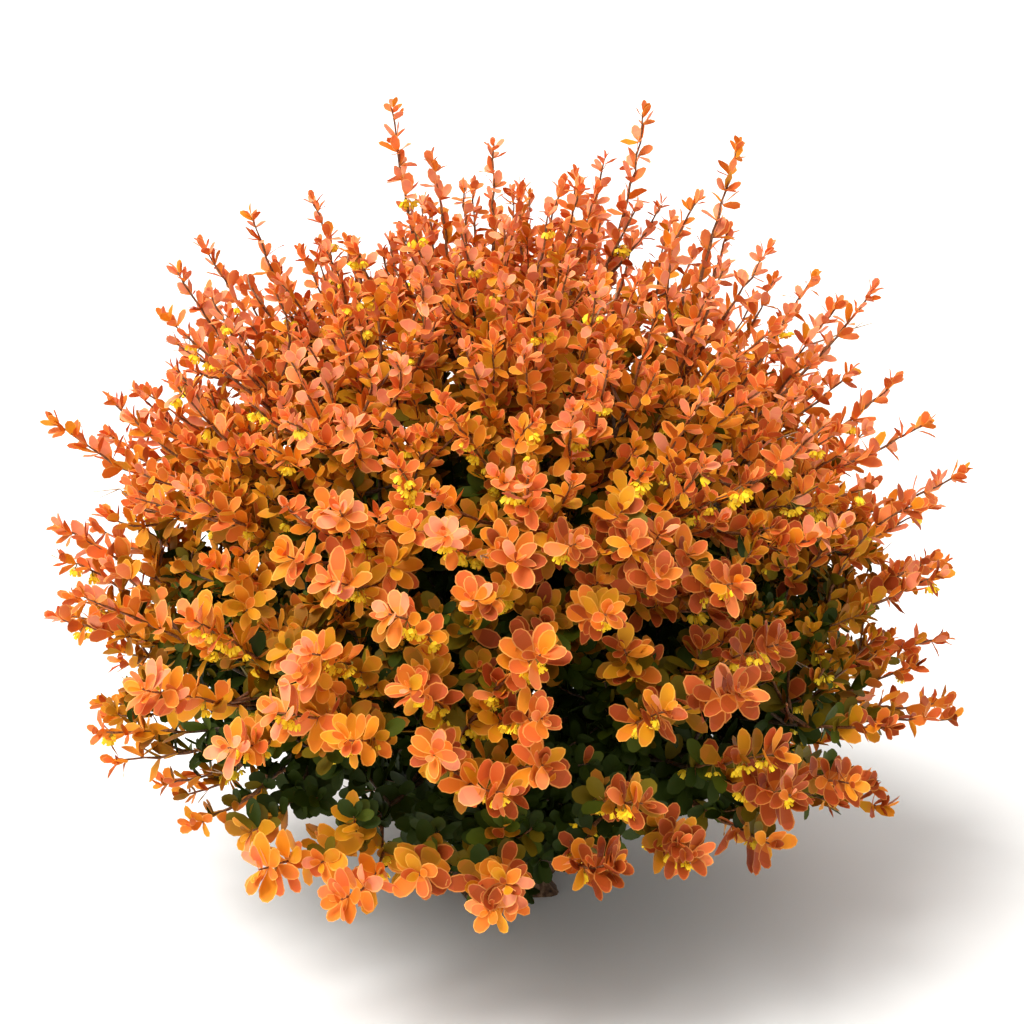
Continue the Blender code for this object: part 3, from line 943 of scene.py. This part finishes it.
class Leaves:
    """Where every leaf goes: root, way along, upper face, length, width, form and tint."""

    def __init__(self):
        self.rows = {}

    def add(self, root, along, face_up, length, width, form, tint):
        """Plan one leaf."""
        face_up = (face_up - along * face_up.dot(along)).normalized()
        side = along.cross(face_up)
        if min(root.z, root.z + along.z * length) < LEAF_CLEARANCE:
            return
        row = (*root, *side, *along, *face_up, length, width)
        self.rows.setdefault((tint, form), []).append(row)


def tint_number(point, tone, luck):
    """Which tint a leaf takes: coral at the crown's outline, to green deep inside and low, partly
    own colour and partly painted shade, and paler at the top as painted light.
    """
    direction = (point - HEART).normalized()
    inside = 1 - reach_share(point)
    depth = max(0, inside) * crown_reach(direction)
    # Deeper, greener tints inside and low down are partly the leaves' own colour and partly painted
    # shade; paler ones towards the top are painted light.
    rise = max(0, direction.z)
    wall = min(1, abs(direction.y) / TINT_WALL)
    foot = max(0, TINT_FADE_FOOT - direction.z)
    fade = TINT_FADE - TINT_FADE_RISE * rise + TINT_FADE_LOW * wall * foot
    low = max(0, -direction.z - TINT_LOW_FROM) * TINT_LOW * wall
    low += (TINT_MIDDLE_HEIGHT - point.z) * TINT_HEIGHT - rise * TINT_TOP
    # Painted shade: on the side turned from the key light the number grows, and some leaves take
    # the russet tint.
    shade = max(0, direction.dot(pointing(*SHADED_SIDE)) - SHADED_FROM) * SHADED_SHARE
    outer = max(0, TINT_OUTER_DEPTH - inside) * TINT_OUTER
    drift = shade * SHADED_FADE + outer + luck.gauss(0, TINT_SPREAD)
    number = round(tone + TINT_START + depth * fade + low + drift)
    last = len(TINTS) - 1
    if number < FIRST_PLAIN_TINT - 1 and luck.random() < shade:
        return last
    return int(max(0, min(last - 1, number)))


def grow_tuft(leaves, shoot, point, axis, count, spread, size, luck):
    """A rosette of leaves round an axis."""
    side = across(axis)
    first = luck.uniform(0, 2 * math.pi)
    plain = reach_share(point) < PLAIN_LEAF_REACH
    full = shoot.open_tip and (shoot.curve[2] - point).length < FULL_LEAF_ROOM
    for index in range(count):
        angle = first + 2 * math.pi * index / count
        angle += luck.uniform(-LEAF_TURN_SPREAD, LEAF_TURN_SPREAD)
        tilt = math.radians(spread + luck.uniform(-LEAF_TILT_SPREAD, LEAF_TILT_SPREAD))
        out = side * math.cos(angle) + axis.cross(side) * math.sin(angle)
        along = axis * math.cos(tilt) + out * math.sin(tilt) + Vector((0, 0, shoot.upturn))
        along.normalize()
        face_up = axis * LEAF_AHEAD + shoot.facing + LEAF_SKYWARD
        roll = Quaternion(along, luck.gauss(0, LEAF_ROLL))
        length = LEAF_LENGTH * size * luck.uniform(*LEAF_LENGTHS)
        form = luck.randrange(len(LEAF_SHAPES)) + (len(LEAF_SHAPES) if full else 0)
        tint = tint_number(point + along * length, shoot.tone, luck)
        if plain or FIRST_PLAIN_TINT <= tint < len(TINTS) - 1:
            form = "plain"
        width = luck.uniform(*LEAF_WIDTHS)
        leaves.add(point, along, roll @ face_up, length, width, form, tint)


def leaf_up_shoots(shoots):
    """Tufts at the nodes of every shoot; returns the leaves and the nodes."""
    leaves = Leaves()
    nodes = []
    for number, shoot in enumerate(shoots):
        luck = random.Random(RANDOM_SEED * 2000 + number)
        forward = shoot.along(1)
        for count, spread, size, back in ROSETTE if shoot.open_tip else BUD:
            place = 1 - back / shoot.length
            point = shoot.at(place)
            count += luck.randint(-1, 1) if back > TIP_NODE else 0
            size *= shoot.size
            grow_tuft(leaves, shoot, point, forward, count, spread, size, luck)
            if back > TIP_NODE:
                nodes.append((point, forward, forward, reach_share(point), shoot))
        least, growth = (1.0, 1.0) if shoot.open_tip else TIP_GROWTH
        turn = luck.uniform(0, 360)
        distance = (ROSETTE[-1][3] if shoot.open_tip else 0) + NODE_GAP * 0.8
        while True:
            place = 1 - distance / shoot.length
            if place < LAST_NODE:
                break
            point = shoot.at(place)
            share = reach_share(point)
            if share < LEAFY_FROM:
                break
            forward = shoot.along(place)
            axis = turned(forward, turn, NODE_LEAN)
            limits = next(limits for limits in LEAVES_AT_NODE if share < limits[0])
            count = luck.randint(*limits[1:])
            size = shoot.size * min(1.0, least + distance * growth)
            grow_tuft(leaves, shoot, point, axis, count, NODE_SPREAD, size, luck)
            nodes.append((point, axis, forward, share, shoot))
            turn += NODE_TURN
            distance += NODE_GAP * luck.uniform(*NODE_GAP_SPREAD)
    return leaves, nodes


def leaf_template(stations, cup, arch, ripple, blunt):
    """Points, faces and slots of a leaf: a blade folded along its midrib, flushed to its tip."""

    def lift(along, over):
        bowl = cup * (abs(over) / 0.3) ** 1.5 * 0.3
        return bowl + arch * (along - 0.2) * abs(along - 0.2) + ripple * math.sin(9 * along) * over

    points = [(0, 0, 0)]
    for along, half in stations:
        half *= 1 + blunt * (along - 0.45)
        inner = half - min(RIM_WIDTH, half * 0.4)
        for over in (-half, -inner, 0, inner, half):
            points.append((over, along, lift(along, over)))
    points.append((0, 1 - RIM_WIDTH, lift(1 - RIM_WIDTH, 0)))
    points.append((0, 1, lift(1, 0)))
    faces = [((0, 3, 2), THROAT), ((0, 4, 3), THROAT), ((0, 2, 1), RIM), ((0, 5, 4), RIM)]
    for row in range(len(stations) - 1):
        low = 1 + row * 5
        inside = FLUSH if stations[row][0] > FLUSH_START else BLADE
        if stations[row + 1][0] < THROAT_END:
            inside = THROAT
        for column in range(4):
            quad = (low + column, low + column + 1, low + column + 6, low + column + 5)
            faces.append((quad, RIM if column in (0, 3) else inside))
    last = 1 + (len(stations) - 1) * 5
    inner_tip = last + 5
    tip = last + 6
    faces += [((last + 1, last + 2, inner_tip), FLUSH), ((last + 2, last + 3, inner_tip), FLUSH)]
    faces += [((last, last + 1, inner_tip, tip), RIM), ((tip, inner_tip, last + 3, last + 4), RIM)]
    return points, faces


def plain_template():
    """Points and faces of a leaf deep in the crown."""
    outline = [(0, 0), (0.15, 0.20), (0.265, 0.50), (0.245, 0.77), (0.13, 0.95), (0, 1)]
    outline += [(-0.13, 0.95), (-0.245, 0.77), (-0.265, 0.50), (-0.15, 0.20)]
    points = [(x, y, 0.3 * abs(x)) for x, y in outline]
    return points, [((0, 1, 2, 3, 4, 5), BLADE), ((0, 5, 6, 7, 8, 9), BLADE)]


def leaf_templates():
    """The forms of leaf, by number, and the plain one."""
    forms = {}
    for number, shape in enumerate(LEAF_SHAPES):
        forms[number] = leaf_template(LEAF_STATIONS, *shape)
        forms[len(LEAF_SHAPES) + number] = leaf_template(FULL_LEAF_STATIONS, *shape)
    forms["plain"] = plain_template()
    return forms


def place_template(points, rows):
    """The points of every copy of a leaf, placed by its row."""
    rows = np.array(rows)
    local = np.array(points)[None, :, :] * rows[:, None, 12:13]
    local[:, :, 0] *= rows[:, None, 13]
    world = np.einsum("nvi,nij->nvj", local, rows[:, 3:12].reshape(-1, 3, 3))
    return (world + rows[:, None, 0:3]).reshape(-1, 3)


def build_leaves(leaves):
    """One joined mesh for each tint, with a blade, a paler rim, a golden throat and a flush."""
    forms = leaf_templates()
    pieces = []
    for number, (tint, levels, pale) in enumerate(TINTS):
        points = []
        corners = []
        sizes = []
        slots = []
        first = 0
        for form, (shape, faces) in forms.items():
            rows = leaves.rows.get((number, form))
            if not rows:
                continue
            points.append(place_template(shape, rows))
            flat = np.array([vertex for face, slot in faces for vertex in face])
            roots = first + np.arange(len(rows)) * len(shape)
            corners.append((flat[None, :] + roots[:, None]).ravel())
            sizes.append(np.tile([len(face) for face, slot in faces], len(rows)))
            slots.append(np.tile([slot for face, slot in faces], len(rows)))
            first += len(rows) * len(shape)
        corners = np.concatenate(corners)
        sizes = np.concatenate(sizes)
        starts = np.cumsum(sizes) - sizes
        mesh = bpy.data.meshes.new("leaves_" + tint)
        mesh.vertices.add(first)
        mesh.vertices.foreach_set("co", np.concatenate(points).ravel())
        mesh.loops.add(len(corners))
        mesh.loops.foreach_set("vertex_index", corners)
        mesh.polygons.add(len(starts))
        mesh.polygons.foreach_set("loop_start", starts)
        mesh.polygons.foreach_set("loop_total", sizes)
        mesh.materials.append(leaf_material("leaf_" + tint, levels))
        if pale:
            rim = mixed(levels, RIM_TINT, pale)
            throat = mixed(levels, THROAT_TINT, pale * THROAT_MIX)
            flush = mixed(levels, FLUSH_TINT, FLUSH_MIX)
            mesh.materials.append(leaf_material("leaf_rim_" + tint, rim))
            mesh.materials.append(leaf_material("leaf_throat_" + tint, throat))
            mesh.materials.append(leaf_material("leaf_flush_" + tint, flush))
        mesh.polygons.foreach_set("material_index", np.concatenate(slots))
        mesh.update(calc_edges=True)
        mesh.validate()
        mesh.shade_smooth()
        piece = bpy.data.objects.new("leaves_" + tint, mesh)
        bpy.context.scene.collection.objects.link(piece)
        pieces.append(piece)
    return pieces


def build_spines(nodes):
    """A thin spine under each node in the outer part of the crown."""
    strips = Strips()
    for point, axis, forward, share, shoot in nodes:
        if share < OLD_WOOD_REACH:
            continue
        way = (axis * SPINE_AXIS - forward * SPINE_BACK).normalized()
        strips.cone(point, point + way * SPINE_LENGTH * (0.8 + shoot.size * 0.3), SPINE_RADIUS)
    return strips.build("spines", twig_material("spine", *SPINE_TINTS))


def flower_points(centre, down, size):
    """The points and faces of one hanging flower: a cup of petals."""
    side = across(down)
    front = down.cross(side)
    points = []
    faces = []
    for petal in range(PETALS):
        first = len(points)
        middle = 2 * math.pi * petal / PETALS
        high = 0.10 * (petal % 2)
        for turn, out, drop in PETAL_POINTS:
            angle = middle + turn
            spoke = side * math.cos(angle) + front * math.sin(angle)
            points.append(centre + (spoke * (out + high * drop) + down * drop) * size)
        faces.append((first, first + 1, first + 2))
        faces.append((first + 1, first + 3, first + 4, first + 2))
    return points, faces


def build_flowers(nodes):
    """Small clusters of yellow flowers that hang under the nodes."""
    petals = Strips()
    stalks = Strips()
    luck = random.Random(RANDOM_SEED * 3000)
    for point, axis, forward, share, shoot in nodes:
        chance = FRONT_FLOWER_SHARE if shoot.rank == "front" else FLOWER_SHARE
        within = FLOWER_REACH[0] <= share <= FLOWER_REACH[1]
        if not within or luck.random() > chance:
            continue
        for index in range(luck.randint(*FLOWERS_AT_NODE)):
            sideways = luck.uniform(-FLOWER_SWAY, FLOWER_SWAY)
            sway = Vector((sideways, luck.uniform(-FLOWER_SWAY, FLOWER_SWAY), 0))
            down = (Vector((0, 0, -1)) + sway + axis * 0.35).normalized()
            knee = point + down * luck.uniform(*FLOWER_STALK)
            stalks.tube([point, knee], [FLOWER_STALK_RADIUS] * 2, 3)
            size = FLOWER_SIZE * luck.uniform(*FLOWER_SIZES)
            points, faces = flower_points(knee, down, size)
            first = len(petals.points)
            petals.points += points
            petals.faces += [tuple(first + vertex for vertex in face) for face in faces]
    material, tree, shader = new_material("petal", 0.5, 0.3)
    shader.inputs["Base Color"].default_value = screen_colour(PETAL_TINT)
    fine = add_noise(tree, 500, 2)
    tree.links.new(add_range(tree, fine, 0.42, 0.6), shader.inputs["Roughness"])
    green = twig_material("flower_stalk", *FLOWER_STALK_TINTS)
    return petals.build("flowers", material), stalks.build("flower_stalks", green)


def build_stage():
    """A pale floor, a soft key light from the upper left, a weak fill and an even surround."""
    mesh = bpy.data.meshes.new("floor")
    half = FLOOR_HALF
    corners = [(-half, -half, 0), (half, -half, 0), (half, half, 0), (-half, half, 0)]
    mesh.from_pydata(corners, [], [(0, 1, 2, 3)])
    material, tree, shader = new_material("floor", 0.9, 0.1)
    shader.inputs["Base Color"].default_value = FLOOR_COLOUR
    mesh.materials.append(material)
    floor = bpy.data.objects.new("floor", mesh)
    bpy.context.scene.collection.objects.link(floor)
    world = bpy.data.worlds.new("studio")
    bpy.context.scene.world = world
    world.use_nodes = True
    shade = world.node_tree.nodes["Background"]
    shade.inputs["Color"].default_value = (*LIGHT_COLOUR, 1)
    shade.inputs["Strength"].default_value = SURROUND_STRENGTH
    for name, bearing, climb, strength, angle in SUNS:
        lamp = bpy.data.lights.new(name, "SUN")
        lamp.energy = strength
        lamp.color = LIGHT_COLOUR
        lamp.angle = math.radians(angle)
        light = bpy.data.objects.new(name, lamp)
        light.rotation_euler = (-pointing(bearing, climb)).to_track_quat("-Z", "Y").to_euler()
        bpy.context.scene.collection.objects.link(light)


def build_camera():
    """The camera, at the height and distance of the photo's view."""
    lens = bpy.data.cameras.new("camera")
    lens.lens = CAMERA_LENS
    camera = bpy.data.objects.new("camera", lens)
    back = pointing(270, CAMERA_CLIMB)
    camera.location = CAMERA_AIM + back * CAMERA_DISTANCE
    camera.rotation_euler = (-back).to_track_quat("-Z", "Y").to_euler()
    bpy.context.scene.collection.objects.link(camera)
    bpy.context.scene.camera = camera


def build_shrub():
    """All the pieces of the shrub."""
    plan = mass_plan()
    canes = ["cane_" + name for name, ring, bearing, middle in plan]
    masses = ["foliage_" + name for name, ring, bearing, middle in plan]
    luck = random.Random(RANDOM_SEED * 10)
    shoots = main_shoots(plan)
    shoots += side_shoots(shoots, luck)
    shoots += spur_shoots(shoots, luck)
    shoots += inner_shoots(plan, luck)
    shoots += ground_shoots(luck)
    bark = build_bark(plan)
    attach(bark, "root")
    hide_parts("stem", *canes)
    for twigs in (*build_twigs(shoots), build_dry_twigs(shoots)):
        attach(twigs, "root")
        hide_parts(*masses)
    leaves, nodes = leaf_up_shoots(shoots)
    pieces = build_leaves(leaves)
    pieces.append(build_spines(nodes))
    pieces += build_flowers(nodes)
    for piece in pieces:
        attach(piece, "root")
        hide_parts(*masses)


build_camera()
build_stage()
build_shrub()
bpy.context.scene.view_settings.view_transform = "Standard"
